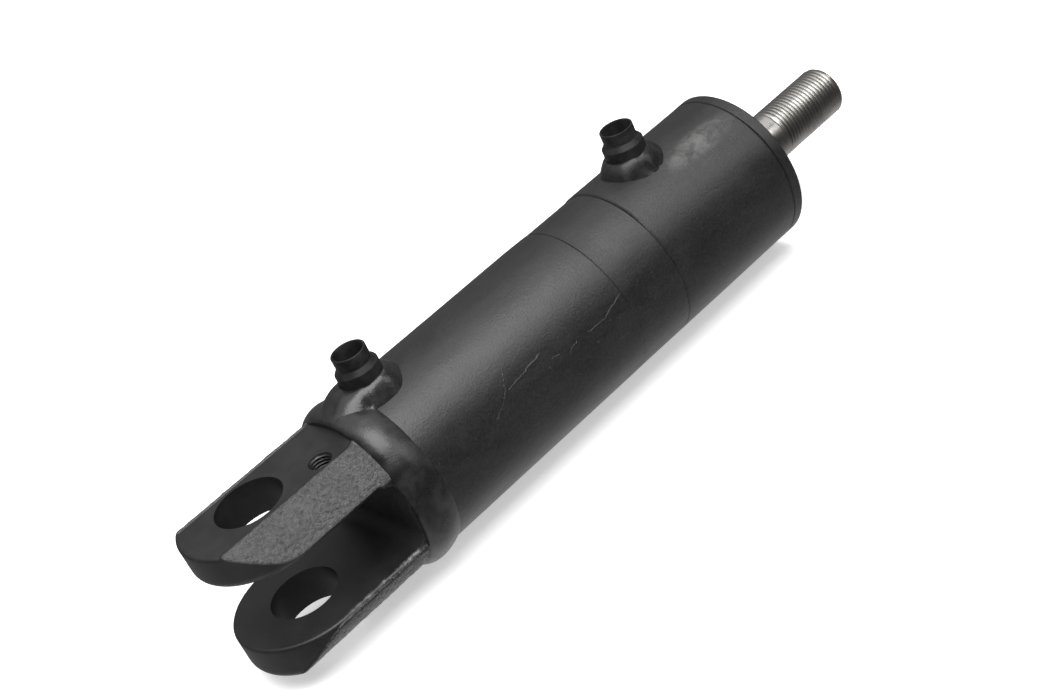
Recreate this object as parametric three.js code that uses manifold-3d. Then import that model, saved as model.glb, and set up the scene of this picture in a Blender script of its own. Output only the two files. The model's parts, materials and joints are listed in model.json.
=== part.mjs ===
// Double-acting hydraulic cylinder with a welded clevis base and a threaded rod end, shown retracted.
// Millimetres. Origin on the clevis pin axis, +X along the cylinder to the rod end, +Z along the pin
// axis, towards the side the two ports stand on.
import * as THREE from 'three';
import { mergeVertices } from 'three/addons/utils/BufferGeometryUtils.js';
import Module from 'manifold-3d';

const wasm = await Module();
wasm.setup();

// Facets round a full turn: bodies about the cylinder axis, and the smaller ports.
const TURN = 36;
const PORT_TURN = 24;
const FIT = 0.05; // radial gap of a running fit
const SEAT = 0.1; // gap between two fixed pieces
const WELD_GAP = 0.3; // gap under a port weld, whose facets cross the barrel's

// Barrel and head body
const BARREL_R = 40;
const BORE_R = 32.5;
const SKIM_R = 39.55; // turned-down band before the head body
const TUBE_START = 54.6;
const BAND_START = 181.6;
const BAND_END = 212.6;
const HEAD_END = 289.5;
const THREAD_R = 34; // inner radius of the head body where the gland screws in
const THREAD_START = 262;

// Clevis
const CLEVIS_R = 39.2;
const EAR_R = 33.8; // nose radius and half width of the ears
const FLAT_Z = 34; // outer flats
const SLOT_Z = 17.1; // half the slot's width
const EAR_ROUND = 4; // rounding of the ears' worn edges
const SLOT_END = 46;
const SLOT_FILLET = 6;
const PIN_R = 15.75;
const KEEPER = { x: 31.2, y: -12, r: 5.2 }; // tapped hole in the upper ear
const PLUG_END = 65;

// Ports
const BASE_PORT_X = 70.7;
const HEAD_PORT_X = 239.4;
const PORT_TOP = 58.8;
const STUB_R = 8.04;
const COLLAR_R = 10;
const PORT_BORE_R = 4.75;
const PORT_SEAT_Z = 34.7;
const FILLET_R = 16;
const FILLET_TOP = 45;

// Gland
const GLAND_START = 232;
const GLAND_END = 295.5;
const GLAND_NOSE_R = 25.5;

// Rod, piston and nut
const ROD_R = 12.7;
const ROD_START = 65.5;
const ROD_END = 363.5;
const THREAD_X = 321.6;
const PITCH = 2.117;
const THREADS = 19;
const THREAD_ROOT_R = 11.4;
const SPIGOT_R = 10;
const PISTON_START = 84;
const PISTON_END = 120;
const PISTON_R = BORE_R - 0.08;
const NUT_START = 68;
const NUT_AF = 30;

// ---------------------------------------------------------------- solids

function weld(geometry) {
  const g = geometry.clone();
  g.deleteAttribute('normal');
  g.deleteAttribute('uv');
  return mergeVertices(g, 1e-4);
}

// Drops collapsed triangles and turns the faces outwards.
function closedBody(geometry) {
  const g = weld(geometry);
  const index = g.index.array;
  const p = g.attributes.position;
  const kept = [];
  let volume = 0;
  const a = new THREE.Vector3();
  const b = new THREE.Vector3();
  const c = new THREE.Vector3();
  for (let i = 0; i < index.length; i += 3) {
    const [i0, i1, i2] = [index[i], index[i + 1], index[i + 2]];
    if (i0 === i1 || i1 === i2 || i2 === i0) continue;
    a.fromBufferAttribute(p, i0);
    b.fromBufferAttribute(p, i1);
    c.fromBufferAttribute(p, i2);
    volume += a.dot(b.cross(c));
    kept.push(i0, i1, i2);
  }
  if (volume < 0) {
    for (let i = 0; i < kept.length; i += 3) [kept[i + 1], kept[i + 2]] = [kept[i + 2], kept[i + 1]];
  }
  g.setIndex(kept);
  return g;
}

function toManifold(geometry) {
  const g = closedBody(geometry);
  const vertProperties = new Float32Array(g.attributes.position.array);
  const triVerts = new Uint32Array(g.index.array);
  return new wasm.Manifold(new wasm.Mesh({ numProp: 3, vertProperties, triVerts }));
}

function fromManifold(solid) {
  const m = solid.getMesh();
  const g = new THREE.BufferGeometry();
  g.setAttribute('position', new THREE.BufferAttribute(new Float32Array(m.vertProperties), 3));
  g.setIndex(Array.from(m.triVerts));
  return g;
}

function subtract(geometry, ...tools) {
  let solid = toManifold(geometry);
  for (const tool of tools) solid = solid.subtract(toManifold(tool));
  return fromManifold(solid);
}

function unite(geometry, ...others) {
  let solid = toManifold(geometry);
  for (const other of others) solid = solid.add(toManifold(other));
  return fromManifold(solid);
}

function intersect(geometry, other) {
  return fromManifold(toManifold(geometry).intersect(toManifold(other)));
}

// A body of revolution about X from [x, radius] points.
function turnX(profile, segments = TURN) {
  const points = profile.map(([x, r]) => new THREE.Vector2(r, x));
  return closedBody(new THREE.LatheGeometry(points, segments).rotateZ(-Math.PI / 2));
}

// A body of revolution about a line parallel to Z from [radius, z] points.
function turnZ(profile, x, y, segments = PORT_TURN) {
  const points = profile.map(([r, z]) => new THREE.Vector2(r, z));
  const g = new THREE.LatheGeometry(points, segments).rotateX(Math.PI / 2);
  return closedBody(g.translate(x, y, 0));
}

function ringX(x0, x1, inner, outer) {
  return turnX([[x0, inner], [x0, outer], [x1, outer], [x1, inner], [x0, inner]]);
}

function pinZ(x, y, r, z0, z1, segments = PORT_TURN) {
  return turnZ([[0, z0], [r, z0], [r, z1], [0, z1]], x, y, segments);
}

function oRing(x, centreR, sectionR) {
  const profile = [];
  for (let i = 0; i <= 6; i += 1) {
    const a = (i % 6 + 0.5) * Math.PI / 3;
    profile.push([x + sectionR * Math.cos(a), centreR + sectionR * Math.sin(a)]);
  }
  return turnX(profile);
}

// A prism from points in the XZ plane, running across Y.
function prismY(points, halfWidth) {
  const shape = new THREE.Shape(points.map(([x, z]) => new THREE.Vector2(x, z)));
  const g = new THREE.ExtrudeGeometry(shape, { depth: 2 * halfWidth, bevelEnabled: false });
  return closedBody(g.rotateX(Math.PI / 2).translate(0, halfWidth, 0));
}

// A prism from points in the XY plane, running along Z.
function prismZ(points, halfHeight) {
  const shape = new THREE.Shape(points.map(([x, y]) => new THREE.Vector2(x, y)));
  const g = new THREE.ExtrudeGeometry(shape, { depth: 2 * halfHeight, bevelEnabled: false });
  return closedBody(g.translate(0, 0, -halfHeight));
}

function arc(cx, cy, r, from, to, steps) {
  const points = [];
  for (let i = 0; i <= steps; i += 1) {
    const a = THREE.MathUtils.degToRad(from + (to - from) * i / steps);
    points.push([cx + r * Math.cos(a), cy + r * Math.sin(a)]);
  }
  return points;
}

// ---------------------------------------------------------------- clevis end

// What the ears stay inside: a round nose about the pin axis carried straight back to a full-width root.
// The lower edge of each ear is worn round, the upper edge only broken.
function earBlock() {
  const wornR = EAR_R - EAR_ROUND;
  const edge = [
    ...arc(wornR, EAR_ROUND - FLAT_Z, EAR_ROUND, 270, 360, 3),
    [EAR_R, -SLOT_Z - 1], [EAR_R - 1, -SLOT_Z],
    ...arc(wornR, SLOT_Z + EAR_ROUND, EAR_ROUND, 270, 360, 3),
    [EAR_R, FLAT_Z - 1], [EAR_R - 1, FLAT_Z],
  ];
  const nose = turnZ([[0, -FLAT_Z], ...edge, [0, FLAT_Z]], 0, 0, 40);
  const mirrored = edge.map(([r, z]) => [-r, z]).reverse();
  const straight = prismY([...edge, ...mirrored], 21).rotateZ(Math.PI / 2).translate(21, 0, 0);
  const root = prismZ([
    [70, -41], [45.5, -41], [43.5, -EAR_R], [40, -EAR_R],
    [40, EAR_R], [43.5, EAR_R], [45.5, 41], [70, 41],
  ], 41);
  return unite(nose, straight, root);
}

function clevis() {
  const bar = turnX([
    [-36, 0], [-36, CLEVIS_R], [48, CLEVIS_R], [53.5, 33.5], [54.4, BORE_R - SEAT],
    [PLUG_END - 1, BORE_R - SEAT], [PLUG_END, BORE_R - 1 - SEAT], [PLUG_END, 0],
  ]);
  const slot = prismY([
    [-45, -SLOT_Z],
    ...arc(SLOT_END - SLOT_FILLET, -SLOT_Z + SLOT_FILLET, SLOT_FILLET, 270, 360, 4),
    ...arc(SLOT_END - SLOT_FILLET, SLOT_Z - SLOT_FILLET, SLOT_FILLET, 0, 90, 4),
    [-45, SLOT_Z],
  ], 45);
  const upperFlat = prismY([
    [-45, FLAT_Z], ...arc(42, FLAT_Z + 10, 10, 270, 325, 5), [50.4, 45], [-45, 45],
  ], 45);
  const lowerFlat = upperFlat.clone().rotateX(Math.PI);
  return subtract(
    intersect(bar, earBlock()),
    slot,
    upperFlat,
    lowerFlat,
    pinZ(0, 0, PIN_R, -45, 45, TURN),
    pinZ(KEEPER.x, KEEPER.y, KEEPER.r, 0, 45, 24),
  );
}

const BEAD = [
  [45, 39.35], [46.4, 40.4], [48.8, 41.8], [51.6, 42.5], [54.6, 42.6], [57.6, 42.2],
  [60.4, 41.3], [62.4, 40.5], [63.6, 40.1],
];

function bead() {
  const profile = [...BEAD, [60.2, 40.1], [54.8, 34.6], [53.4, 34.6], [48.2, 39.35], BEAD[0]];
  return subtract(turnX(profile), pinZ(BASE_PORT_X, 0, COLLAR_R + 0.3, 30, 60));
}

// The bead's outline grown a little, to clear the port weld that runs up against it.
function beadClearance() {
  return turnX([[44, 30], ...BEAD.map(([x, r]) => [x, r + 0.3]), [64.5, 40.1], [64.5, 30], [44, 30]]);
}

// ---------------------------------------------------------------- barrel, head body and ports

function portHole(x) {
  return turnZ([
    [0, 20], [PORT_BORE_R, 20], [PORT_BORE_R, PORT_SEAT_Z - SEAT],
    [COLLAR_R + SEAT, PORT_SEAT_Z - SEAT], [COLLAR_R + SEAT, 50], [0, 50],
  ], x, 0);
}

function barrelTube() {
  const tube = turnX([
    [TUBE_START, BORE_R], [TUBE_START, 34.2], [60.2, BARREL_R], [170, BARREL_R],
    [BAND_START - 0.4, 39.75], [BAND_START, 39.4], [BAND_START + 0.4, 39.7],
    [BAND_START + 3, SKIM_R], [BAND_END - SEAT, SKIM_R], [BAND_END - SEAT, BORE_R],
    [TUBE_START, BORE_R],
  ]);
  return subtract(tube, portHole(BASE_PORT_X));
}

function headBody() {
  const body = turnX([
    [BAND_END, BORE_R], [BAND_END, 39.2], [BAND_END + 0.8, BARREL_R], [HEAD_END - 0.6, BARREL_R],
    [HEAD_END, BARREL_R - 0.6], [HEAD_END, THREAD_R], [THREAD_START, THREAD_R],
    [THREAD_START - 1.5, BORE_R], [BAND_END, BORE_R],
  ]);
  return subtract(body, portHole(HEAD_PORT_X));
}

function portNipple(x) {
  return turnZ([
    [PORT_BORE_R, PORT_SEAT_Z], [COLLAR_R, PORT_SEAT_Z], [COLLAR_R, 50.5], [STUB_R, 52.9],
    [STUB_R, PORT_TOP - 0.3], [STUB_R - 0.3, PORT_TOP], [6.9, PORT_TOP], [PORT_BORE_R, 51.2],
    [PORT_BORE_R, PORT_SEAT_Z],
  ], x, 0);
}

// Fillet weld round a collar, its foot following the round of the barrel.
function portFillet(portX) {
  const height = (r, angle) => Math.sqrt((BARREL_R + WELD_GAP) ** 2 - (r * Math.sin(angle)) ** 2);
  const positions = [];
  const faces = [];
  const count = 5;
  for (let i = 0; i < PORT_TURN; i += 1) {
    const angle = 2 * Math.PI * i / PORT_TURN;
    const foot = height(FILLET_R, angle);
    const rise = FILLET_TOP - foot;
    const section = [
      [COLLAR_R + SEAT, height(COLLAR_R + SEAT, angle)],
      [COLLAR_R + SEAT, FILLET_TOP],
      [11.9, foot + 0.8 * rise],
      [14, foot + 0.46 * rise],
      [FILLET_R, foot],
    ];
    for (const [r, z] of section) {
      positions.push(portX + r * Math.cos(angle), r * Math.sin(angle), z);
    }
    for (let k = 0; k < count; k += 1) {
      const j = (i + 1) % PORT_TURN;
      const m = (k + 1) % count;
      faces.push(i * count + k, i * count + m, j * count + m);
      faces.push(i * count + k, j * count + m, j * count + k);
    }
  }
  const g = new THREE.BufferGeometry();
  g.setAttribute('position', new THREE.Float32BufferAttribute(positions, 3));
  g.setIndex(faces);
  return closedBody(g);
}

// ---------------------------------------------------------------- gland and its seals

function gland() {
  const body = turnX([
    [GLAND_START, 13.1], [GLAND_START, GLAND_NOSE_R - 1], [GLAND_START + 1, GLAND_NOSE_R],
    [249, GLAND_NOSE_R], [250, BORE_R - FIT], [253.2, BORE_R - FIT], [253.2, 29.3], [258.6, 29.3],
    [258.6, BORE_R - FIT], [260.8, BORE_R - FIT], [263.2, THREAD_R - SEAT], [286, THREAD_R - SEAT],
    [286, 32.6], [HEAD_END + SEAT, 32.6], [HEAD_END + SEAT, BARREL_R - 0.6], [290.1, BARREL_R],
    [GLAND_END - 0.5, BARREL_R], [GLAND_END, BARREL_R - 0.5], [GLAND_END, 14.4], [293.2, 14.4],
    [293.2, 17.2], [287, 17.2], [287, 13.1], [275, 13.1], [275, 17.6], [267, 17.6], [267, 13.1],
    [262, 13.1], [262, 15], [236, 15], [236, 13.1], [GLAND_START, 13.1],
  ]);
  const wrenchHoles = [45, 135, 225, 315].map((deg) => {
    const hole = turnX([[291, 0], [291, 2.75], [300, 2.75], [300, 0]], 16);
    const a = THREE.MathUtils.degToRad(deg);
    return hole.translate(0, 29 * Math.cos(a), 29 * Math.sin(a));
  });
  return subtract(body, ...wrenchHoles);
}

function rodSeal() {
  return turnX([
    [267.1, ROD_R + FIT], [267.1, 13.9], [270.6, 14.9], [267.1, 15.9], [267.1, 17.5],
    [274.9, 17.5], [274.9, 13.2], [272, 13.2], [267.1, ROD_R + FIT],
  ]);
}

function rodWiper() {
  return turnX([
    [287.1, 13.4], [287.1, 17.1], [293.1, 17.1], [293.1, 14.2], [296.6, 13.6],
    [296.6, ROD_R + FIT], [295.4, ROD_R + FIT], [291, 13.4], [287.1, 13.4],
  ]);
}

// ---------------------------------------------------------------- rod and piston

function pistonRod() {
  const profile = [
    [ROD_START, 0], [ROD_START, SPIGOT_R - 1], [ROD_START + 1, SPIGOT_R], [117.5, SPIGOT_R],
    [117.5, SPIGOT_R - 0.5], [PISTON_END + FIT, SPIGOT_R - 0.5], [PISTON_END + FIT, ROD_R],
    [THREAD_X, ROD_R],
  ];
  for (let i = 0; i < THREADS; i += 1) {
    const x = THREAD_X + i * PITCH;
    if (i > 0) profile.push([x, ROD_R]);
    profile.push([x + PITCH / 2, THREAD_ROOT_R]);
  }
  profile.push([THREAD_X + THREADS * PITCH, 12.4], [ROD_END, 11.6], [ROD_END, 0]);
  return turnX(profile);
}

function piston() {
  return turnX([
    [PISTON_START, SPIGOT_R + FIT], [PISTON_START, PISTON_R - 1], [PISTON_START + 1, PISTON_R],
    [88, PISTON_R], [88, 30.4], [95, 30.4], [95, PISTON_R], [98, PISTON_R], [98, 26.8], [106, 26.8],
    [106, PISTON_R], [109, PISTON_R], [109, 30.4], [116, 30.4], [116, PISTON_R],
    [PISTON_END - 1, PISTON_R], [PISTON_END, PISTON_R - 1], [PISTON_END, SPIGOT_R + FIT],
    [103.6, SPIGOT_R + FIT], [103.6, 12.4], [100, 12.4], [100, SPIGOT_R + FIT],
    [PISTON_START, SPIGOT_R + FIT],
  ]);
}

function lockNut() {
  const across = NUT_AF / Math.sqrt(3);
  const x1 = PISTON_START - SEAT;
  const hexagon = closedBody(new THREE.CylinderGeometry(across, across, x1 - NUT_START, 6)
    .rotateZ(-Math.PI / 2).translate((x1 + NUT_START) / 2, 0, 0));
  const chamfer = turnX([
    [NUT_START - 1, 0], [NUT_START - 1, 13.6], [NUT_START + 2.4, 19], [x1 + 1, 19], [x1 + 1, 0],
  ]);
  const hole = turnX([
    [NUT_START - 2, 0], [NUT_START - 2, SPIGOT_R + FIT], [x1 + 2, SPIGOT_R + FIT], [x1 + 2, 0],
  ]);
  return subtract(intersect(hexagon, chamfer), hole);
}

// ---------------------------------------------------------------- assembly

const PAINT = { color: 0x1a1b1d, metalness: 0.2, roughness: 0.45 };
const STEEL = { color: 0xa9acb0, metalness: 1, roughness: 0.35 };
const TURNED = { color: 0x8e9093, metalness: 1, roughness: 0.5 };
const BRONZE = { color: 0xb08a4a, metalness: 1, roughness: 0.45 };
const RUBBER = { color: 0x141414, metalness: 0, roughness: 0.8 };
const SEALING = { color: 0x2b5f8c, metalness: 0, roughness: 0.6 };
const GUIDE = { color: 0x7a6a4c, metalness: 0, roughness: 0.6 };

const part = new THREE.Group();
part.name = 'clevis_cylinder';

function add(name, geometry, look) {
  const g = geometry.index ? geometry.toNonIndexed() : geometry;
  g.computeVertexNormals();
  const mesh = new THREE.Mesh(g, new THREE.MeshStandardMaterial(look));
  mesh.name = name;
  part.add(mesh);
}

add('clevis_base', clevis(), PAINT);
add('base_weld', bead(), PAINT);
add('barrel_tube', barrelTube(), PAINT);
add('head_body', headBody(), PAINT);
add('port_nipple_base', portNipple(BASE_PORT_X), PAINT);
add('port_nipple_head', portNipple(HEAD_PORT_X), PAINT);
add('port_weld_base', subtract(portFillet(BASE_PORT_X), beadClearance()), PAINT);
add('port_weld_head', portFillet(HEAD_PORT_X), PAINT);
add('gland', gland(), PAINT);
add('gland_bushing', ringX(236.1, 261.9, ROD_R + FIT, 15 - SEAT), BRONZE);
add('rod_seal', rodSeal(), SEALING);
add('rod_wiper', rodWiper(), SEALING);
add('gland_oring', oRing(254.95, 30.9, 1.5), RUBBER);
add('gland_backup_ring', ringX(256.8, 258.4, 29.4, BORE_R - SEAT), GUIDE);
add('piston_rod', pistonRod(), STEEL);
add('piston', piston(), TURNED);
add('piston_lock_nut', lockNut(), TURNED);
add('piston_oring', oRing(101.8, 11.2, 1.1), RUBBER);
add('piston_seal', ringX(98.05, 105.95, 29.9, BORE_R - FIT), SEALING);
add('piston_seal_energiser', oRing(102, 28.35, 1.45), RUBBER);
add('piston_wear_ring_rear', ringX(88.05, 94.95, 30.4 + FIT, BORE_R - FIT), GUIDE);
add('piston_wear_ring_front', ringX(109.05, 115.95, 30.4 + FIT, BORE_R - FIT), GUIDE);

export default part;
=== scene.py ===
import json
import math

import bpy
import numpy as np
from mathutils import Matrix, Vector, noise


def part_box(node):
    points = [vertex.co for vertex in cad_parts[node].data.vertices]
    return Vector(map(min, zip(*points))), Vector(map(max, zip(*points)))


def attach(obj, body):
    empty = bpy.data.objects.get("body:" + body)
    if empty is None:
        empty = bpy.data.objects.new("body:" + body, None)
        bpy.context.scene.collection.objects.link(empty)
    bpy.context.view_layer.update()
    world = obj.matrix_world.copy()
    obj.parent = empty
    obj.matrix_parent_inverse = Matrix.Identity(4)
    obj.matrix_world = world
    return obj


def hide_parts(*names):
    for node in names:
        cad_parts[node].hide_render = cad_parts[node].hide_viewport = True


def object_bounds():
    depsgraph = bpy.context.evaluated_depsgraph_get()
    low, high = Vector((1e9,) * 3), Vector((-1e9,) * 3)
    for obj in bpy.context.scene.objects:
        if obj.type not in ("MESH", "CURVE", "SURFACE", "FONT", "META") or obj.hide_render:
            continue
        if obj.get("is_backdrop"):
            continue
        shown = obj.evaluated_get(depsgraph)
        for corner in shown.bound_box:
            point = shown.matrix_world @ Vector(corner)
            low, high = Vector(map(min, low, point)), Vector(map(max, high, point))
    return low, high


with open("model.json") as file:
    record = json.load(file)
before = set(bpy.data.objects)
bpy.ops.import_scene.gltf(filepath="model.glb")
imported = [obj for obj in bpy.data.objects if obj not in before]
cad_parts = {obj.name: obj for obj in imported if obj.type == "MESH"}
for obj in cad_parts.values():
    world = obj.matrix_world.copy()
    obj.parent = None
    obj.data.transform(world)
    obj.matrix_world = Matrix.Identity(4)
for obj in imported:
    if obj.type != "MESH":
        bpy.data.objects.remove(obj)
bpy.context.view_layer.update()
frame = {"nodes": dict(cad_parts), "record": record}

MM = 0.001
TURN = 240  # steps round a turned piece
AXIS = 0.001  # radius, in mm, of an outline's point on the axis


# ------------------------------------------------------------------ places, from the frame

def x_range(node):
    lo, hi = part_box(node)
    return lo[0] / MM, hi[0] / MM


def middle_x(node):
    return sum(x_range(node)) / 2


def half_height(node):
    lo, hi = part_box(node)
    return (hi[1] - lo[1]) / 2 / MM


EAR_TIP, PLUG_END = x_range("clevis_base")
TUBE_START, TUBE_END = x_range("barrel_tube")
HEAD_END = x_range("head_body")[1]
ROD_START, ROD_END = x_range("piston_rod")
BEAD_START, BEAD_END = x_range("base_weld")
BARREL_R = half_height("head_body")
CLEVIS_R = half_height("clevis_base")
ROD_R = half_height("piston_rod")
BASE_PORT_X = middle_x("port_nipple_base")
HEAD_PORT_X = middle_x("port_nipple_head")
PORT_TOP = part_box("port_nipple_base")[1][2] / MM
BEAD_TOP = half_height("base_weld")
EAR_R = -EAR_TIP
OPENINGS = {o["name"]: o["box_m"] for o in frame["record"]["physics"]["openings"]}
MOUNTS = {m["name"]: m for m in frame["record"]["mounts"]}
PIN_R = MOUNTS["clevis_pin"]["dims"]["r_mm"]
FLATS = [MOUNTS[n]["pos_m"][2] / MM for n in ("lower_ear_face", "upper_ear_face")]
SLOT = [MOUNTS[n]["pos_m"][2] / MM for n in ("slot_lower_face", "slot_upper_face")]
SLOT_END, SLOT_FILLET = 46, 6
KEEPER_LO, KEEPER_HI = OPENINGS["keeper_hole"]
KEEPER_X = (KEEPER_LO[0] + KEEPER_HI[0]) / 2 / MM
KEEPER_Y = (KEEPER_LO[1] + KEEPER_HI[1]) / 2 / MM
KEEPER_R = 5.5
PORT_BORE_R = 4.75


# ------------------------------------------------------------------ meshes

def new_object(name, verts_mm, faces, crease=None):
    mesh = bpy.data.meshes.new(name)
    verts = np.asarray(verts_mm, dtype=float) * MM
    mesh.from_pydata(verts.tolist(), [], [tuple(f) for f in faces])
    mesh.validate()
    mesh.polygons.foreach_set("use_smooth", [True] * len(mesh.polygons))
    if crease is not None:
        mesh.set_sharp_from_angle(angle=math.radians(crease))
    mesh.update()
    obj = bpy.data.objects.new(name, mesh)
    bpy.context.scene.collection.objects.link(obj)
    outward(obj)
    return obj


def outward(obj):
    """Turns the faces of a closed mesh outwards by the sign of its volume."""
    mesh = obj.data
    mesh.calc_loop_triangles()
    points = np.empty(len(mesh.vertices) * 3)
    mesh.vertices.foreach_get("co", points)
    points = points.reshape(-1, 3)
    tris = np.empty(len(mesh.loop_triangles) * 3, dtype=int)
    mesh.loop_triangles.foreach_get("vertices", tris)
    a, b, c = (points[tris.reshape(-1, 3)[:, k]] for k in range(3))
    if np.einsum("ij,ij->i", a, np.cross(b, c)).sum() < 0:
        mesh.flip_normals()


def grid_faces(rows, columns, close_rows=False):
    """Quads of a grid of rows x columns points whose columns close on themselves."""
    faces = []
    for i in range(rows if close_rows else rows - 1):
        for j in range(columns):
            i2, j2 = (i + 1) % rows, (j + 1) % columns
            faces.append((i * columns + j, i * columns + j2, i2 * columns + j2, i2 * columns + j))
    return faces


def rounded(profile, radius, steps=4, closed=True):
    """A profile whose corners are rounded, with a support point close on each side of every arc."""
    points = [np.array(p, dtype=float) for p in profile]
    count = len(points)
    result = []
    for i, p in enumerate(points):
        if not closed and i in (0, count - 1):
            result.append(p)
            continue
        before, after = points[i - 1] - p, points[(i + 1) % count] - p
        len_a, len_b = np.linalg.norm(before), np.linalg.norm(after)
        u, v = before / len_a, after / len_b
        cosine = float(np.clip(u @ v, -1, 1))
        if cosine < -0.995:
            result.append(p)
            continue
        half = math.acos(cosine) / 2
        reach = min(radius / math.tan(half), 0.4 * len_a, 0.4 * len_b)
        start, end = p + u * reach, p + v * reach
        support = min(0.12, 0.25 * (min(len_a, len_b) - reach))
        result.append(start + u * support)
        for k in range(steps + 1):
            t = k / steps
            result.append((1 - t) ** 2 * start + 2 * t * (1 - t) * p + t * t * end)
        result.append(end + v * support)
    return [tuple(p) for p in result]


def turned(name, profile, segments=TURN, centre=None, closed=True, shape=None):
    """A body turned about X from [x, r], or about a line along Z through centre from [r, z].

    shape(u, angle, r) gives what is added to the radius; a profile that isn't closed ends on the axis."""
    profile = np.array(profile)
    angles = np.arange(segments) * 2 * math.pi / segments
    a, c, s = angles[None, :], np.cos(angles)[None, :], np.sin(angles)[None, :]
    along, r = (profile[:, 0:1], profile[:, 1:2]) if centre is None else (profile[:, 1:2], profile[:, 0:1])
    radius = r + (shape(along, a, r) if shape else 0) * (r > 0.01)
    along = np.broadcast_to(along, (len(profile), segments))
    if centre is None:
        grid = np.stack([along, radius * c, radius * s], axis=-1)
    else:
        grid = np.stack([centre + radius * c, radius * s, along], axis=-1)
    verts = grid.reshape(-1, 3)
    faces = grid_faces(len(profile), segments, close_rows=closed)
    if not closed:
        for row in (0, len(profile) - 1):
            ring = [row * segments + j for j in range(segments)]
            faces.append(ring if row == 0 else ring[::-1])
    return new_object(name, verts, faces, crease=50)


def section(node):
    """The outline of a turned CAD node in the half-plane below its axis, as [x, r] in mm."""
    mesh = frame["nodes"][node].data
    world = frame["nodes"][node].matrix_world
    co = [world @ v.co for v in mesh.vertices]
    keys, links = {}, {}
    for v, p in zip(mesh.vertices, co):
        if abs(p.y) < 2e-6 and p.z < 1e-6:
            key = (round(p.x / MM, 3), round(-p.z / MM, 3))
            keys[v.index] = key
            links.setdefault(key, set())
    for e in mesh.edges:
        a, b = e.vertices
        if a in keys and b in keys and keys[a] != keys[b]:
            links[keys[a]].add(keys[b])
            links[keys[b]].add(keys[a])
    loose = [k for k in links if len(links[k]) == 1]
    for a in loose:
        mates = sorted((abs(a[1] - b[1]), b) for b in loose if b != a and abs(a[0] - b[0]) < 0.01)
        if mates:
            links[a].add(mates[0][1])
            links[mates[0][1]].add(a)
    start = min(links, key=lambda k: (k[1], k[0]))
    walk, previous = [start], None
    while True:
        onward = [k for k in sorted(links[walk[-1]]) if k != previous and k not in walk[1:]]
        if not onward or (len(walk) > 2 and onward[0] == start and len(onward) == 1):
            break
        step = [k for k in onward if k != start] or onward
        previous = walk[-1]
        walk.append(step[0])
    return walk


def combine(obj, tool, operation):
    """Adds the tool to obj, takes it out of obj or keeps what they share, and deletes the tool."""
    bpy.context.view_layer.objects.active = obj
    m = obj.modifiers.new("combine", "BOOLEAN")
    m.operation, m.object, m.solver = operation, tool, "EXACT"
    bpy.ops.object.modifier_apply(modifier=m.name)
    bpy.data.objects.remove(tool)


def cut(obj, tools):
    for tool in tools:
        combine(obj, tool, "DIFFERENCE")
    obj.data.set_sharp_from_angle(angle=math.radians(50))


def keep(obj, tool):
    combine(obj, tool, "INTERSECT")


def drill(x, y, r, z0, z1, segments=96):
    """A round cutter along Z, from z0 to z1."""
    outline = [[AXIS, z0], [r, z0], [r, z1], [AXIS, z1]]
    tool = turned("drill", outline, segments, centre=x, closed=False)
    for v in tool.data.vertices:
        v.co.y += y * MM
    return tool


def prism(name, outline, half, plane):
    """A prism from an outline in the XZ or XY plane, reaching half to each side of it."""
    count = len(outline)
    verts = []
    for side in (-half, half):
        for a, b in outline:
            verts.append((a, side, b) if plane == "XZ" else (a, b, side))
    faces = [list(range(count)), list(range(2 * count - 1, count - 1, -1))]
    faces += [(i, (i + 1) % count, count + (i + 1) % count, count + i) for i in range(count)]
    return new_object(name, verts, faces)


def arc(cx, cy, r, start, end, steps):
    angles = np.radians(np.linspace(start, end, steps + 1))
    return [(cx + r * math.cos(a), cy + r * math.sin(a)) for a in angles]


def bumpy(points, scale, octaves=2, seed=0.0):
    """Smooth noise from about -1 to 1 at points in mm; scale is the size of its lumps in mm."""
    offset = Vector((seed, seed * 1.7, -seed))
    return np.array([
        noise.fractal(Vector(p) / scale + offset, 1.0, 2.0, octaves, noise_basis="PERLIN_ORIGINAL")
        for p in points
    ])


# ------------------------------------------------------------------ materials

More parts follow.
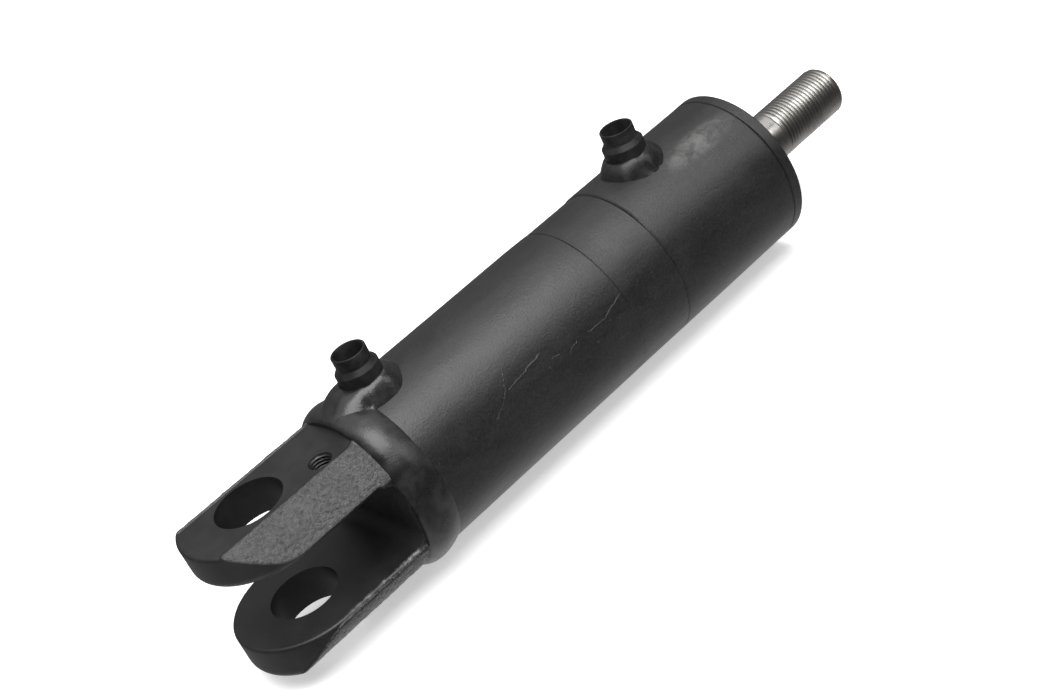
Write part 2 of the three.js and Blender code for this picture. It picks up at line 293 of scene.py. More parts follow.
class Shader:
    """A Principled material with nodes added by short calls. Coordinates are the object's, in metres."""

    def __init__(self, name, colour, roughness, metallic=0.0, specular=0.5):
        self.material = bpy.data.materials.new(name)
        self.material.use_nodes = True
        self.tree = self.material.node_tree
        self.tree.nodes.clear()
        self.out = self.tree.nodes.new("ShaderNodeOutputMaterial")
        self.bsdf = self.tree.nodes.new("ShaderNodeBsdfPrincipled")
        self.link(self.bsdf.outputs[0], self.out.inputs[0])
        self.bsdf.inputs["Base Color"].default_value = (*colour, 1)
        self.bsdf.inputs["Roughness"].default_value = roughness
        self.bsdf.inputs["Metallic"].default_value = metallic
        self.bsdf.inputs["Specular IOR Level"].default_value = specular
        self.place = self.tree.nodes.new("ShaderNodeTexCoord").outputs["Object"]

    def link(self, a, b):
        self.tree.links.new(a, b)

    def feed(self, socket, value):
        if isinstance(value, (int, float)):
            socket.default_value = value
        else:
            self.link(value, socket)

    def math(self, operation, a, b=0.0, c=0.0):
        n = self.tree.nodes.new("ShaderNodeMath")
        n.operation = operation
        for socket, value in zip(n.inputs, (a, b, c)):
            self.feed(socket, value)
        return n.outputs[0]

    def noise(self, scale, detail=3.0, rough=0.5, stretch=None, distortion=0.0, place=None):
        place = place or self.place
        if stretch:
            m = self.tree.nodes.new("ShaderNodeMapping")
            m.inputs["Scale"].default_value = stretch
            self.link(place, m.inputs["Vector"])
            place = m.outputs[0]
        n = self.tree.nodes.new("ShaderNodeTexNoise")
        self.link(place, n.inputs["Vector"])
        n.inputs["Scale"].default_value = scale
        n.inputs["Detail"].default_value = detail
        n.inputs["Roughness"].default_value = rough
        n.inputs["Distortion"].default_value = distortion
        return n.outputs["Fac"]

    def ramp(self, value, low, high, to_low=0.0, to_high=1.0, smooth=True):
        n = self.tree.nodes.new("ShaderNodeMapRange")
        n.interpolation_type = "SMOOTHSTEP" if smooth else "LINEAR"
        self.feed(n.inputs["Value"], value)
        for name, v in (("From Min", low), ("From Max", high), ("To Min", to_low), ("To Max", to_high)):
            n.inputs[name].default_value = v
        return n.outputs["Result"]

    def mix(self, factor, a, b):
        n = self.tree.nodes.new("ShaderNodeMix")
        n.data_type = "RGBA"
        self.feed(n.inputs["Factor"], factor)
        for socket, value in ((n.inputs["A"], a), (n.inputs["B"], b)):
            if isinstance(value, tuple):
                socket.default_value = (*value, 1)
            else:
                self.link(value, socket)
        return n.outputs["Result"]

    def axes(self):
        n = self.tree.nodes.new("ShaderNodeSeparateXYZ")
        self.link(self.place, n.inputs[0])
        return n.outputs

    def radius(self):
        """Distance from the cylinder's axis, in metres."""
        _, y, z = self.axes()
        return self.math("SQRT", self.math("ADD", self.math("MULTIPLY", y, y), self.math("MULTIPLY", z, z)))

    def bump(self, *layers):
        """layers are (height from 0 to 1, depth in metres)."""
        normal = None
        for height, depth in layers:
            n = self.tree.nodes.new("ShaderNodeBump")
            n.inputs["Strength"].default_value = 1.0
            n.inputs["Distance"].default_value = depth
            self.link(height, n.inputs["Height"])
            if normal:
                self.link(normal, n.inputs["Normal"])
            normal = n.outputs[0]
        self.link(normal, self.bsdf.inputs["Normal"])

    def set(self, name, value):
        self.feed(self.bsdf.inputs[name], value)


BLACK = (0.009, 0.009, 0.0092)
DUST = (0.021, 0.021, 0.021)


def wrinkle(s, along, around, unit, start, end, points):
    """A thin wandering line: around is near the curve through points while along is from start to end.

    unit is the length in metres of a step of one in around."""
    n = s.tree.nodes.new("ShaderNodeFloatCurve")
    curve = n.mapping.curves[0]
    curve.points[0].location, curve.points[-1].location = points[0], points[-1]
    for p in points[1:-1]:
        curve.points.new(*p)
    for p in curve.points:
        p.handle_type = "VECTOR"
    n.mapping.update()
    share = s.ramp(along, start, end, smooth=False)
    s.link(share, n.inputs["Value"])
    jag = s.math("MULTIPLY", s.math("SUBTRACT", s.noise(200, 4, 0.7), 0.5), 0.004)
    off = s.math("MULTIPLY", s.math("SUBTRACT", around, n.outputs[0]), unit)
    gap = s.math("ABSOLUTE", s.math("ADD", off, jag))
    inside = s.math("MULTIPLY", s.math("GREATER_THAN", along, start), s.math("LESS_THAN", along, end))
    broken = s.ramp(s.noise(130, 2, 0.5), 0.38, 0.5)
    return s.math("MULTIPLY", s.math("MULTIPLY", s.ramp(gap, 0.0, 0.00036, 1, 0), inside), broken)


def barrel_paint():
    """Semi-gloss black with cracks down the front, chips, scuffs and a patch of dust on the head."""
    s = Shader("black_paint", BLACK, 0.38)
    x, y, z = s.axes()
    cloud = s.noise(90, 5, 0.65, stretch=(0.35, 1, 1), distortion=0.5)
    fine = s.noise(1100, 3, 0.6)
    chips = s.ramp(s.noise(300, 4, 0.75), 0.65, 0.72)
    scuffs = s.ramp(s.noise(420, 4, 0.7, stretch=(0.12, 1, 1)), 0.6, 0.72)
    turn = s.math("DIVIDE", s.math("ARCTAN2", s.math("MULTIPLY", y, -1.0), z), math.pi / 2)
    quarter = BARREL_R * MM * math.pi / 2  # turn is 0 on top and 1 at the near side, a quarter round
    # The courses of these lines were measured on the photograph and rounded.
    line = wrinkle(s, x, turn, quarter, 0.1105, 0.1325, [(0, 0.75), (0.5, 0.732), (1, 0.71)])
    for crack in (
        wrinkle(s, x, turn, quarter, 0.1354, 0.1397, [(0, 0.79), (1, 0.8)]),
        wrinkle(s, x, turn, quarter, 0.1438, 0.181, [
            (0, 0.858), (0.06, 0.832), (0.29, 0.808), (0.42, 0.828), (0.65, 0.827), (0.8, 0.8), (1, 0.77)]),
        wrinkle(s, turn, s.math("MULTIPLY", x, 5.0), 0.2, 0.6, 0.857, [
            (0, 0.583), (0.12, 0.567), (0.55, 0.545), (0.74, 0.53), (1, 0.492)]),
    ):
        line = s.math("MAXIMUM", line, crack)
    worn = s.math("MAXIMUM", s.math("MULTIPLY", chips, 0.7), s.math("MULTIPLY", line, 0.7))
    worn = s.math("MAXIMUM", worn, s.math("MULTIPLY", scuffs, s.ramp(cloud, 0.45, 0.65, 0.05, 0.3)))
    patch_x, patch_length, patch_turn, patch_width = 0.266, 0.028, 0.3, 0.14
    along = s.math("DIVIDE", s.math("SUBTRACT", x, patch_x), patch_length)
    across = s.math("DIVIDE", s.math("SUBTRACT", turn, patch_turn), patch_width)
    far = s.math("ADD", s.math("POWER", along, 2.0), s.math("POWER", across, 2.0))
    mottle = s.ramp(s.noise(120, 5, 0.7, distortion=0.8), 0.3, 0.7)
    dusty = s.math("MULTIPLY", s.ramp(far, 0.0, 1.0, 1, 0), mottle)
    grey = s.math("ADD", s.ramp(cloud, 0.35, 0.75, 0, 0.5), s.ramp(fine, 0.35, 0.7, 0, 0.5))
    coat = s.mix(s.math("MULTIPLY", worn, 0.6), s.mix(grey, BLACK, DUST), (0.06, 0.06, 0.058))
    s.set("Base Color", s.mix(s.math("MULTIPLY", dusty, 0.6), coat, (0.16, 0.16, 0.156)))
    satin = s.ramp(cloud, 0.3, 0.7, 0.35, 0.43)
    s.set("Roughness", s.math("ADD", satin, s.ramp(fine, 0.3, 0.7, -0.03, 0.03)))
    s.bump((s.noise(48, 2, 0.5), 0.0003), (fine, 0.00013), (scuffs, 0.00003), (line, 0.0002),
           (chips, 0.00005))
    return s.material


def weld_paint(name, smooth, rough, specular=0.5):
    """The same paint pooled over weld metal, its roughness from smooth to rough."""
    s = Shader(name, BLACK, smooth, specular=specular)
    cloud = s.noise(160, 3, 0.5)
    s.set("Base Color", s.mix(s.ramp(cloud, 0.35, 0.75), BLACK, DUST))
    s.set("Roughness", s.ramp(cloud, 0.3, 0.75, smooth, rough))
    s.bump((s.noise(110, 1, 0.4), 0.00015), (s.noise(1300, 2, 0.5), 0.00008))
    return s.material


def clevis_paint():
    """Satin on the machined flats, pebbled on the unmachined round with painted shade on the lower ear,
    rubbed paint with a painted highlight on the slot's lower edge.
    """
    s = Shader("black_paint_on_forging", BLACK, 0.42)
    x, y, z = s.axes()
    forged = s.ramp(s.radius(), (CLEVIS_R - 1.1) * MM, (CLEVIS_R - 0.45) * MM)
    cloud = s.noise(70, 4, 0.6)
    pebble = s.noise(560, 4, 0.62)
    patches = s.ramp(s.noise(130, 3, 0.6), 0.4, 0.6)
    wrinkles = s.noise(520, 3, 0.6, distortion=1.5)
    # A light grey line along the lower ear's near top edge: paint rubbed off there, lightened further as a
    # painted highlight of the edge catching the light.
    edge = s.math("ABSOLUTE", s.math("SUBTRACT", y, (0.3 - EAR_R) * MM))
    level = s.math("ABSOLUTE", s.math("SUBTRACT", z, (SLOT[0] - 0.4) * MM))
    rubbed_edge_and_highlight = s.math("MULTIPLY", s.ramp(edge, 0.0008, 0.0018, 1, 0), s.ramp(level, 0.0002, 0.0009, 1, 0))
    patchy = s.math("MULTIPLY", s.ramp(s.noise(200, 4, 0.7), 0.4, 0.6), s.ramp(x, -0.012, 0.03))
    rubbed_edge_and_highlight = s.math("MULTIPLY", rubbed_edge_and_highlight, patchy)
    painted = s.mix(s.ramp(cloud, 0.3, 0.8, 0, 0.7), BLACK, DUST)
    skin = s.mix(s.ramp(pebble, 0.35, 0.62), (0.06, 0.06, 0.06), (0.095, 0.095, 0.095))
    # The pebbled skin's lighter grey is mostly kept to the upper ear. On the lower ear the round fades back
    # to the plain paint, a painted shade on the lower ear.
    painted = s.mix(s.math("MULTIPLY", forged, s.ramp(z, -0.01, 0.015, 0.12, 0.95)), painted, skin)
    s.set("Base Color", s.mix(rubbed_edge_and_highlight, painted, (0.2, 0.2, 0.195)))
    in_slot = s.math("LESS_THAN", s.math("ABSOLUTE", z), SLOT[1] * MM)
    deep = s.math("MULTIPLY", s.ramp(x, 0.034, 0.041), in_slot)
    satin = s.math("ADD", s.ramp(cloud, 0.3, 0.7, 0.38, 0.46), s.math("MULTIPLY", deep, 0.25))
    s.set("Roughness", s.math("SUBTRACT", satin, s.math("MULTIPLY", forged, 0.15)))
    grain = s.math("ADD", s.math("MULTIPLY", pebble, 0.75),
                   s.math("MULTIPLY", wrinkles, s.math("ADD", s.math("MULTIPLY", patches, 0.3), 0.1)))
    s.bump((s.noise(40, 2, 0.5), 0.0003), (s.math("MULTIPLY", forged, grain), 0.0023),
           (s.noise(1000, 3, 0.6), 0.00008))
    return s.material


def rod_steel():
    """Ground steel with turning marks and faint stains."""
    clean, stained = (0.4, 0.39, 0.375), (0.24, 0.23, 0.215)
    s = Shader("ground_steel", clean, 0.3, metallic=1.0)
    rings = s.noise(1.0, 2, 0.5, stretch=(2600, 30, 30))
    stain = s.noise(110, 4, 0.6, distortion=0.6)
    s.set("Base Color", s.mix(s.ramp(stain, 0.45, 0.8), clean, stained))
    dull = s.ramp(stain, 0.35, 0.75, 0.27, 0.38)
    s.set("Roughness", s.math("ADD", dull, s.ramp(rings, 0.3, 0.7, -0.03, 0.03)))
    s.bump((rings, 0.000003), (s.noise(700, 3, 0.6), 0.000006))
    return s.material


def turned_steel(name, colour, roughness):
    s = Shader(name, colour, roughness, metallic=1.0)
    rings = s.noise(1.0, 2, 0.5, stretch=(3800, 40, 40))
    darker = tuple(0.6 * c for c in colour)
    s.set("Base Color", s.mix(s.ramp(s.noise(90, 4, 0.6), 0.4, 0.75), colour, darker))
    s.set("Roughness", s.ramp(rings, 0.3, 0.7, roughness - 0.06, roughness + 0.08))
    s.bump((rings, 0.00002))
    return s.material


def moulded(name, colour, roughness):
    s = Shader(name, colour, roughness)
    lighter = tuple(min(1, 1.5 * c + 0.01) for c in colour)
    s.set("Base Color", s.mix(s.ramp(s.noise(200, 4, 0.6), 0.35, 0.75), colour, lighter))
    s.set("Roughness", s.ramp(s.noise(500, 3, 0.6), 0.3, 0.7, roughness - 0.08, roughness + 0.08))
    s.bump((s.noise(1500, 2, 0.5), 0.00002))
    return s.material


PAINT = barrel_paint()
WELD = weld_paint("black_paint_on_weld", 0.27, 0.37)
FILLET = weld_paint("black_paint_on_fillet", 0.22, 0.27)
HEAD_FILLET = weld_paint("black_paint_on_head_fillet", 0.26, 0.34, 0.3)
STUB = weld_paint("black_paint_on_stub", 0.36, 0.48, 0.2)
FORGED = clevis_paint()
ROD = rod_steel()
LOOKS = {
    "turned_steel": turned_steel("turned_steel", (0.34, 0.34, 0.345), 0.36),
    "bronze": turned_steel("bronze", (0.6, 0.4, 0.18), 0.34),
    "nitrile": moulded("nitrile", (0.012, 0.012, 0.012), 0.55),
    "sealing": moulded("polyurethane", (0.03, 0.11, 0.24), 0.4),
    "guide": moulded("filled_plastic", (0.2, 0.15, 0.08), 0.5),
}
SLOT_OF = {p["node"]: p["material_slot"] for p in frame["record"]["subparts"]}
BODY_OF = {n: b for b, ns in frame["record"]["behaviour"]["bodies"].items() for n in ns}


def fit(obj, material, *nodes):
    """obj stands for these nodes, in their body and material slot."""
    obj.data.materials.clear()
    obj.data.materials.append(material)
    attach(obj, BODY_OF[nodes[0]])
    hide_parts(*nodes)
    return obj


# ------------------------------------------------------------------ clevis

def ear_block():
    """What the clevis stays inside: a round nose carried straight back to a full-width root.

    The lower edge of each ear is worn round, the upper edge only broken."""
    inner, beyond = EAR_R - 4, 41
    edge = [
        (inner, -beyond), (inner, FLATS[0]), *arc(inner, FLATS[0] + 4, 4, 270, 360, 8)[1:],
        (EAR_R, SLOT[0] - 0.9), (EAR_R - 0.9, SLOT[0]), (inner, SLOT[1]),
        *arc(inner, SLOT[1] + 4, 4, 270, 360, 8)[1:],
        (EAR_R, FLATS[1] - 1), (EAR_R - 1, FLATS[1]), (EAR_R - 1, beyond),
    ]
    verts = []
    for r, z in edge:
        side = [(40, r), (40.5, EAR_R), (BEAD_START + 1, EAR_R), (BEAD_START + 3, beyond), (70, beyond)]
        plan = arc(0, 0, r, 90, 270, 120) + [(x, -y) for x, y in side] + side[::-1]
        verts += [(x, y, z) for x, y in plan]
    count = len(verts) // len(edge)
    faces = grid_faces(len(edge), count)
    faces += [list(range(count)), list(range(len(verts) - count, len(verts)))[::-1]]
    return new_object("ear_block", verts, faces)


def clevis():
    """Slot and flats cut from a bar, its edges softened, its round forged, and the holes bored last."""
    away, plug_r = 60, 32.4
    bar = turned("clevis", [
        [EAR_TIP - 2, AXIS], [EAR_TIP - 2, CLEVIS_R], [48, CLEVIS_R], [53.5, 33.5], [54.4, plug_r],
        [PLUG_END - 1, plug_r], [PLUG_END, plug_r - 1], [PLUG_END, AXIS],
    ], 360, closed=False)
    slot = prism("slot", [
        (-away, SLOT[0]), *arc(SLOT_END - SLOT_FILLET, SLOT[0] + SLOT_FILLET, SLOT_FILLET, 270, 360, 12),
        *arc(SLOT_END - SLOT_FILLET, SLOT[1] - SLOT_FILLET, SLOT_FILLET, 0, 90, 12), (-away, SLOT[1]),
    ], away, "XZ")
    upper = prism("upper", [
        (-away, FLATS[1]), *arc(42, FLATS[1] + 10, 10, 270, 330, 12), (51, away), (-away, away),
    ], away, "XZ")
    lower = prism("lower", [
        (-away, FLATS[0]), *arc(42, FLATS[0] - 10, 10, 90, 30, 12), (51, -away), (-away, -away),
    ], away, "XZ")
    holes = [drill(0, 0, PIN_R, -away, away, 160), drill(KEEPER_X, KEEPER_Y, KEEPER_R, 5, away)]
    keep(bar, ear_block())
    cut(bar, [slot, upper, lower])
    grain = bar.modifiers.new("grain", "REMESH")
    grain.mode, grain.voxel_size = "VOXEL", 0.55 * MM
    soften = bar.modifiers.new("soften", "SMOOTH")
    soften.factor, soften.iterations = 0.5, 4
    for m in (grain, soften):
        bpy.ops.object.modifier_apply(modifier=m.name)
    forge(bar)
    cut(bar, holes)
    return fit(bar, FORGED, "clevis_base")


def forge(obj):
    """Moves the points of the unmachined round in and out, as the skin of a forging."""
    mesh = obj.data
    co = np.empty(len(mesh.vertices) * 3)
    mesh.vertices.foreach_get("co", co)
    co = co.reshape(-1, 3)
    r = np.hypot(co[:, 1], co[:, 2]) / MM
    chosen = np.where((r > CLEVIS_R - 1.2) & (co[:, 0] < BEAD_START * MM + 0.004))[0]
    points = co[chosen] / MM
    lumps = 0.17 * bumpy(points, 2.2, 3) + 0.12 * bumpy(points, 9.0, 2, seed=3.0)
    share = np.clip((r[chosen] - (CLEVIS_R - 1.2)) / 0.9, 0, 1)
    share = share * np.clip((np.abs(co[chosen, 2]) / MM - SLOT[1] - 0.8) / 2, 0, 1)
    radial = co[chosen][:, 1:] / (r[chosen] * MM)[:, None]
    co[chosen, 1:] += radial * ((lumps - 0.08) * share * MM)[:, None]
    mesh.vertices.foreach_set("co", co.ravel())
    mesh.polygons.foreach_set("use_smooth", [True] * len(mesh.polygons))
    mesh.update()


def keeper_thread():
    """The cut thread that lines the keeper hole."""
    pitch, major, minor, steps, turn = 1.5, KEEPER_R, 4.8, 10, 96
    top, bottom = FLATS[1] - 0.4, SLOT[1] + 0.4
    z = np.linspace(bottom, top, int((top - bottom) / pitch * steps))[:, None]
    angles = np.arange(turn)[None, :] * 2 * math.pi / turn
    phase = np.mod(z / pitch - angles / (2 * math.pi), 1)
    ridge = np.clip(np.abs(phase - 0.5) * 2.6 - 0.35, 0, 1)
    mouth = np.clip((z - (top - 0.9)) / 0.9, 0, 1)
    inner = minor + (major - minor) * np.maximum(ridge, mouth)
    outer = np.full_like(inner, major + 0.35)
    grid = np.concatenate([inner, outer[::-1]])
    heights = np.concatenate([np.broadcast_to(z, inner.shape), np.broadcast_to(z[::-1], inner.shape)])
    verts = np.stack([KEEPER_X + grid * np.cos(angles), KEEPER_Y + grid * np.sin(angles), heights], axis=-1)
    faces = grid_faces(len(grid), turn, close_rows=True)
    obj = new_object("keeper_thread", verts.reshape(-1, 3), faces, 50)
    obj.data.materials.append(FORGED)
    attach(obj, BODY_OF["clevis_base"])


# ------------------------------------------------------------------ welds

def base_bead():
    """The bead that joins clevis and barrel, with the slow lumps of a hand-run weld."""
    steps, turn = 36, 2 * TURN
    u = np.linspace(0, 1, steps)[:, None]
    x = BEAD_START + 0.4 + (BEAD_END - BEAD_START - 0.2) * u
    foot = CLEVIS_R - 0.9 + (BARREL_R - CLEVIS_R + 0.4) * u
    crown = np.power(np.sin(math.pi * np.power(u, 0.82)), 0.72)
    angles = np.arange(turn)[None, :] * 2 * math.pi / turn
    lumps = np.stack([
        np.broadcast_to(x, (steps, turn)),
        40 * np.broadcast_to(np.cos(angles), (steps, turn)),
        40 * np.broadcast_to(np.sin(angles), (steps, turn)),
    ], axis=-1).reshape(-1, 3)
    wave = bumpy(lumps, 14.0, 2, seed=5.0).reshape(steps, turn)
    small = bumpy(lumps, 4.0, 2, seed=8.0).reshape(steps, turn)
    peak = BEAD_TOP - 0.35
    r = foot + (peak - foot) * crown * (1 + 0.06 * np.tanh(wave) + 0.005 * small)
    shift = 0.8 * bumpy(lumps, 30.0, 1, seed=2.0).reshape(steps, turn)
    xs = np.broadcast_to(x, r.shape) + shift * np.sin(math.pi * u)
    under_x = np.array([[BEAD_END - 1.0], [BEAD_START + 1.2]])
    xs = np.concatenate([xs, np.broadcast_to(under_x, (2, turn))])
    r = np.concatenate([r, np.full((2, turn), CLEVIS_R - 3.2)])
    verts = np.stack([xs, r * np.cos(angles), r * np.sin(angles)], axis=-1).reshape(-1, 3)
    bead = new_object("base_bead", verts, grid_faces(steps + 2, turn, close_rows=True), 60)
    return fit(bead, WELD, "base_weld")


def port_fillet(name, node, x, material, dips, tail=0.0):
    """The fillet round a port's collar, running tail mm further towards the clevis.

    dips are (angle in degrees, share of the slope, size) of its craters."""
    turn, steps, inner = TURN, 30, 9.6
    angles = np.arange(turn)[None, :] * 2 * math.pi / turn
    u = np.linspace(0, 1, steps)[:, None]
    ring = np.stack([30 * np.cos(angles[0]), 30 * np.sin(angles[0]), 0 * angles[0]], axis=-1)
    wander = bumpy(ring, 18.0, 1, seed=x * 0.1)[None, :]
    towards = np.exp(-((np.abs(angles - math.pi) / 0.75) ** 2))
    top = 45.4 + 0.8 * bumpy(ring, 14.0, 1, seed=x * 0.2 + 4)[None, :]
    reach = 16.2 + 0.8 * wander + tail * towards
    r = inner + (reach - inner) * u
    ends = x + reach * np.cos(angles)
    across = np.clip((ends - BEAD_START) / (BEAD_END - BEAD_START), 0, 1)
    ground = BARREL_R + (BEAD_TOP - 0.6 - BARREL_R) * np.sin(math.pi * across) ** 0.7
    foot = np.sqrt(ground ** 2 - (reach * np.sin(angles)) ** 2) - 0.6
    bulge = 1.7 * np.sin(math.pi * np.power(u, 0.75)) * (1 + 0.25 * wander)
    z = top + (foot - top) * u + bulge
    flat = np.stack([x + r * np.cos(angles), r * np.sin(angles), z], axis=-1).reshape(-1, 3)
    z = z + (0.25 * bumpy(flat, 8.0, 1, seed=1.0)).reshape(z.shape) * np.sin(math.pi * u)
    for degrees, share, size in dips:
        gap = np.angle(np.exp(1j * (angles - math.radians(degrees)))) * r
        z = z - 1.3 * np.exp(-((gap / size) ** 2) - (((u - share) * 8) / size) ** 2)
    under = np.sqrt(BARREL_R ** 2 - (inner * np.sin(angles)) ** 2) - 1.5
    r = np.concatenate([r, np.full((1, turn), inner)])
    z = np.concatenate([z, under])
    verts = np.stack([x + r * np.cos(angles), r * np.sin(angles), z], axis=-1).reshape(-1, 3)
    fillet = new_object(name, verts, grid_faces(steps + 1, turn, close_rows=True), 60)
    return fit(fillet, material, node)


# ------------------------------------------------------------------ barrel, head and ports

def waviness(seed, depth):
    """Unevenness of a painted tube's outside, with its grooves filled with paint on the low side."""
    def shape(x, angle, r):
        fill = np.clip(0.95 - 0.9 * (np.sin(angle) + 0.2 * np.sin(7 * angle)), 0, 0.8)
        groove = (r > 38.7) & (r < BARREL_R - 0.2) & (x > TUBE_START + 20) & (x < HEAD_END - 10)
        ring = np.stack([
            np.broadcast_to(x, (x.shape[0], angle.shape[1])),
            r * np.cos(angle), r * np.sin(angle)], axis=-1).reshape(-1, 3)
        value = bumpy(ring, 26.0, 2, seed=seed).reshape(x.shape[0], -1)
        return depth * (value - 0.6) * (r > BARREL_R - 1) + fill * (BARREL_R - r) * groove
    return shape


def spread(profile, step):
    """Adds points along the long straight runs of a profile."""
    result = []
    for a, b in zip(profile, profile[1:] + profile[:1]):
        length = math.dist(a, b)
        pieces = max(1, int(length / step)) if length > 3 * step else 1
        result += [tuple(np.array(a) + (np.array(b) - np.array(a)) * k / pieces) for k in range(pieces)]
    return result


def barrel():
    """The tube, with a deeper line at the start of its band and a corner cut back against the head."""
    outline = section("barrel_tube")
    outer = BARREL_R - 1
    ring = min(r for x, r in outline if r > outer and x < TUBE_END - 5)
    outline = [(x, r - 0.4 if r == ring else r) for x, r in outline]
    corner = next(p for p in outline if p[0] > TUBE_END - 0.1 and p[1] > outer)
    place = outline.index(corner)
    eased = [(corner[0], outer - 0.1), (corner[0] - 0.6, corner[1])]
    if outline[place - 1][1] > outer:
        eased.reverse()
    outline[place:place + 1] = eased
    tube = turned("barrel", spread(rounded(outline, 0.3), 6), shape=waviness(1.0, 0.07))
    cut(tube, [drill(BASE_PORT_X, 0, PORT_BORE_R, 20, 60)])
    return fit(tube, PAINT, "barrel_tube")


def head():
    """The head end of the barrel, with its port's bore."""
    outline = section("head_body")
    body = turned("head", spread(rounded(outline, 0.25), 6), shape=waviness(7.0, 0.07))
    cut(body, [drill(HEAD_PORT_X, 0, PORT_BORE_R, 20, 60)])
    return fit(body, PAINT, "head_body")


def head_gland():
    """The gland, with four spanner holes in its flange."""
    ring = turned("head_gland", rounded(section("gland"), 0.25))
    bottom, outside, hole_r, circle = HEAD_END + 1.5, 300, 2.75, 29 * MM
    outline = [[bottom, AXIS], [bottom, hole_r], [outside, hole_r], [outside, AXIS]]
    holes = []
    for degrees in (45, 135, 225, 315):
        hole = turned("hole", outline, 32, closed=False)
        for v in hole.data.vertices:
            v.co.y += circle * math.cos(math.radians(degrees))
            v.co.z += circle * math.sin(math.radians(degrees))
        holes.append(hole)
    cut(ring, holes)
    return fit(ring, PAINT, "gland")


def nipple(name, node, x):
    """A port stub: collar, shoulder, an end whose thread is all but filled with paint, a coned seat."""
    pitch, stub_r, collar_r, bottom = 1.337, 8.04, 10, 34.7

    def shape(z, angle, r):
        thread = 0.05 * np.cos(2 * math.pi * z / pitch - angle)
        outside = (r > 7.4) & (z > 53.4) & (z < PORT_TOP - 0.8) & (r < 8.3)
        return np.where(outside, thread - 0.05, 0)

    profile = [
        (PORT_BORE_R, bottom), (collar_r, bottom), (collar_r, 50.5), (stub_r, 52.9), (stub_r, PORT_TOP),
        (7.15, PORT_TOP), (6.8, PORT_TOP - 0.9), (PORT_BORE_R, 51.2),
    ]
    stub = turned(name, spread(rounded(profile, 0.35), 0.22), 128, centre=x, shape=shape)
    return fit(stub, STUB, node)


# ------------------------------------------------------------------ rod

def rod():
    """Ground rod whose outer end carries a thread. Its helix winds to the left."""
    pitch, start, root = 2.117, 321.6, 11.6
    turn, steps = 96, 14
    angles = np.arange(turn)[None, :] * 2 * math.pi / turn
    x = np.linspace(start - pitch, ROD_END, int((ROD_END - start + pitch) / pitch * steps))[:, None]
    phase = np.mod(x / pitch + angles / (2 * math.pi), 1)
    flank = 0.5 - 0.5 * np.cos(2 * math.pi * phase)
    depth = (ROD_R - root) * (1 - flank) * np.clip((x - start + 1.2) / 2.4, 0, 1)
    r = ROD_R - depth
    r = np.minimum(r, root + (ROD_END - x) * 0.7)
    neck, undercut, shoulder = 10, 9.5, 120.1
    shank = [
        (ROD_START, AXIS), (ROD_START, neck - 1), (ROD_START + 1, neck), (shoulder - 2.6, neck),
        (shoulder - 2.6, undercut), (shoulder, undercut), (shoulder, ROD_R), (start - pitch - 0.3, ROD_R),
    ]
    shank = np.array(spread(rounded(shank, 0.2, closed=False), 8))
    shank = shank[shank[:, 0] <= start - pitch - 0.1]
    xs = np.concatenate([np.repeat(shank[:, :1], turn, axis=1), np.repeat(x, turn, axis=1)])
    rs = np.concatenate([np.repeat(shank[:, 1:], turn, axis=1), r])
    end_r = np.array([[11.2], [6.0], [1.0]])
    xs = np.concatenate([xs, np.full((3, turn), ROD_END)])
    rs = np.concatenate([rs, np.repeat(end_r, turn, axis=1)])
    verts = np.stack([xs, rs * np.cos(angles), rs * np.sin(angles)], axis=-1).reshape(-1, 3)
    rows = len(xs)
    faces = grid_faces(rows, turn)
    faces.append(list(range(turn)))
    faces.append([(rows - 1) * turn + j for j in range(turn)][::-1])
    return fit(new_object("rod", verts, faces, 40), ROD, "piston_rod")


# ------------------------------------------------------------------ inner pieces

def inner_pieces():
    """Seals, rings, bushing and piston, turned again from the frame's own outlines."""
    for node in (
        "gland_bushing", "rod_seal", "rod_wiper", "gland_oring", "gland_backup_ring", "piston",
        "piston_oring", "piston_seal", "piston_seal_energiser", "piston_wear_ring_rear",
        "piston_wear_ring_front",
    ):
        ring = node.endswith("oring") or node.endswith("energiser")
        outline = section(node)
        if ring:
            xs, rs = zip(*outline)
            cx, cr = (min(xs) + max(xs)) / 2, (min(rs) + max(rs)) / 2
            outline = arc(cx, cr, (max(xs) - min(xs)) / 2, 0, 345, 23)
        piece = turned(node + "_turned", outline if ring else rounded(outline, 0.15), 144)
        fit(piece, LOOKS[SLOT_OF[node]], node)


def lock_nut():
    """The nut stays as the frame has it, with its edges eased."""
    node = frame["nodes"]["piston_lock_nut"]
    ease = node.modifiers.new("ease", "BEVEL")
    ease.width, ease.segments, ease.limit_method = 0.3 * MM, 2, "ANGLE"
    ease.angle_limit = math.radians(35)
    for slot in node.material_slots:
        slot.material = LOOKS["turned_steel"]


# ------------------------------------------------------------------ stage, light and camera

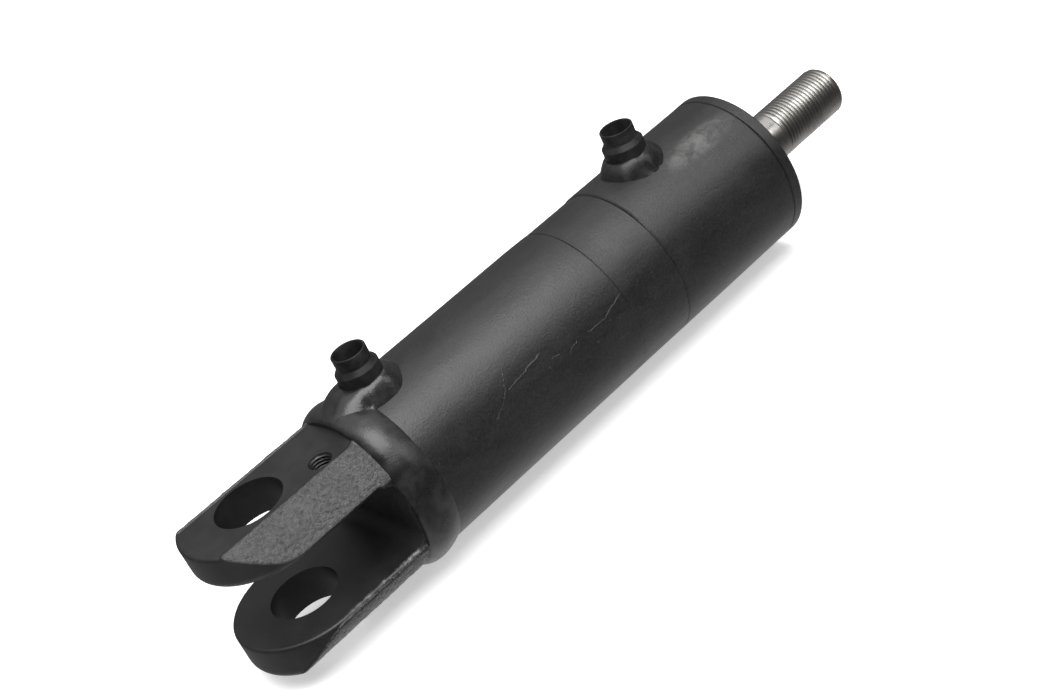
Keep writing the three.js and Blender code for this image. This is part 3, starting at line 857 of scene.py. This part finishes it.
def stage():
    """A pale floor just under the object."""
    size = 40.0
    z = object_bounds()[0][2] - 0.0005
    corners = [(-size, -size, z), (size, -size, z), (size, size, z), (-size, size, z)]
    mesh = bpy.data.meshes.new("floor")
    mesh.from_pydata(corners, [], [(0, 1, 2, 3)])
    floor = bpy.data.objects.new("floor", mesh)
    bpy.context.scene.collection.objects.link(floor)
    s = Shader("pale_floor", (0.86, 0.86, 0.86), 0.9, specular=0.0)
    s.set("Base Color", s.mix(s.noise(3, 2, 0.5), (0.85, 0.85, 0.85), (0.88, 0.88, 0.88)))
    s.bsdf.inputs["Emission Color"].default_value = (1, 1, 1, 1)
    s.bsdf.inputs["Emission Strength"].default_value = 0.5
    floor.data.materials.append(s.material)
    floor.visible_glossy = False
    floor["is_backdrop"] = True


def area(name, place, aim, width, height, power):
    """A rectangular lamp at place, turned towards aim."""
    data = bpy.data.lights.new(name, "AREA")
    data.shape, data.size, data.size_y, data.energy = "RECTANGLE", width, height, power
    lamp = bpy.data.objects.new(name, data)
    bpy.context.scene.collection.objects.link(lamp)
    lamp.location = place
    lamp.rotation_mode = "QUATERNION"
    lamp.rotation_quaternion = (Vector(aim) - Vector(place)).to_track_quat("-Z", "Y")


def lights():
    """A key softbox above the near side, a small one towards the rod and a broad fill overhead."""
    middle = 0.17
    area("key", (0.15, -0.5, 1.2), (middle, 0, 0), 1.4, 0.85, 22)
    area("kicker", (0.95, -0.78, 0.74), (0.28, 0, 0), 0.45, 0.4, 2.0)
    area("fill", (middle, 0.12, 1.3), (middle, 0, 0), 2.4, 1.25, 10)


def room():
    """A dim room with a pale ground and a paler far side."""
    world = bpy.data.worlds.new("studio")
    bpy.context.scene.world = world
    world.use_nodes = True
    tree = world.node_tree
    place = tree.nodes.new("ShaderNodeTexCoord")
    split = tree.nodes.new("ShaderNodeSeparateXYZ")
    tree.links.new(place.outputs["Generated"], split.inputs[0])
    ramps = []
    for axis, stops in (
        ("Z", [(0.0, 1.05), (0.1, 0.66), (0.28, 0.23), (0.5, 0.14), (0.75, 0.32), (1.0, 0.4)]),
        ("Y", [(0.0, 0.35), (0.3, 0.5), (0.6, 1.0), (1.0, 1.1)]),
    ):
        lift = tree.nodes.new("ShaderNodeMapRange")
        lift.inputs["From Min"].default_value = -1
        tree.links.new(split.outputs[axis], lift.inputs["Value"])
        ramp = tree.nodes.new("ShaderNodeValToRGB")
        tree.links.new(lift.outputs["Result"], ramp.inputs["Fac"])
        for position, value in stops[1:-1]:
            ramp.color_ramp.elements.new(position)
        for element, (position, value) in zip(ramp.color_ramp.elements, stops):
            element.position = position
            element.color = (value, value, value, 1)
        ramps.append(ramp)
    both = tree.nodes.new("ShaderNodeVectorMath")
    both.operation = "MULTIPLY"
    for ramp, socket in zip(ramps, both.inputs):
        tree.links.new(ramp.outputs["Color"], socket)
    tree.links.new(both.outputs[0], tree.nodes["Background"].inputs["Color"])
    tree.nodes["Background"].inputs["Strength"].default_value = 1.0
    bpy.context.scene.view_settings.view_transform = "Standard"


def camera():
    """Behind and above the clevis end, rolled so that the cylinder rises to the right."""
    azimuth, elevation, roll = (math.radians(v) for v in (-28.64, 29.40, -26.37))
    flat = math.cos(elevation)
    back = Vector((math.sin(azimuth) * flat, -math.cos(azimuth) * flat, math.sin(elevation)))
    right = (-back).cross(Vector((0, 0, 1))).normalized()
    up = right.cross(-back)
    cosine, sine = math.cos(roll), math.sin(roll)
    right, up = right * cosine + up * sine, up * cosine - right * sine
    data = bpy.data.cameras.new("camera")
    data.lens, data.sensor_width = 63.78, 36
    data.clip_start, data.clip_end = 0.01, 50
    cam = bpy.data.objects.new("camera", data)
    bpy.context.scene.collection.objects.link(cam)
    cam.location = (-0.2021, -0.6381, 0.4106)
    cam.rotation_mode = "QUATERNION"
    cam.rotation_quaternion = Matrix((right, up, back)).transposed().to_quaternion()
    bpy.context.scene.camera = cam


camera()
clevis()
keeper_thread()
base_bead()
barrel()
head()
head_gland()
nipple("base_nipple", "port_nipple_base", BASE_PORT_X)
nipple("head_nipple", "port_nipple_head", HEAD_PORT_X)
port_fillet("base_fillet", "port_weld_base", BASE_PORT_X, FILLET, [(236, 0.8, 1.3)], tail=8.5)
port_fillet("head_fillet", "port_weld_head", HEAD_PORT_X, HEAD_FILLET, [(262, 0.75, 1.6), (283, 0.85, 1.2)])
rod()
inner_pieces()
lock_nut()
stage()
lights()
room()
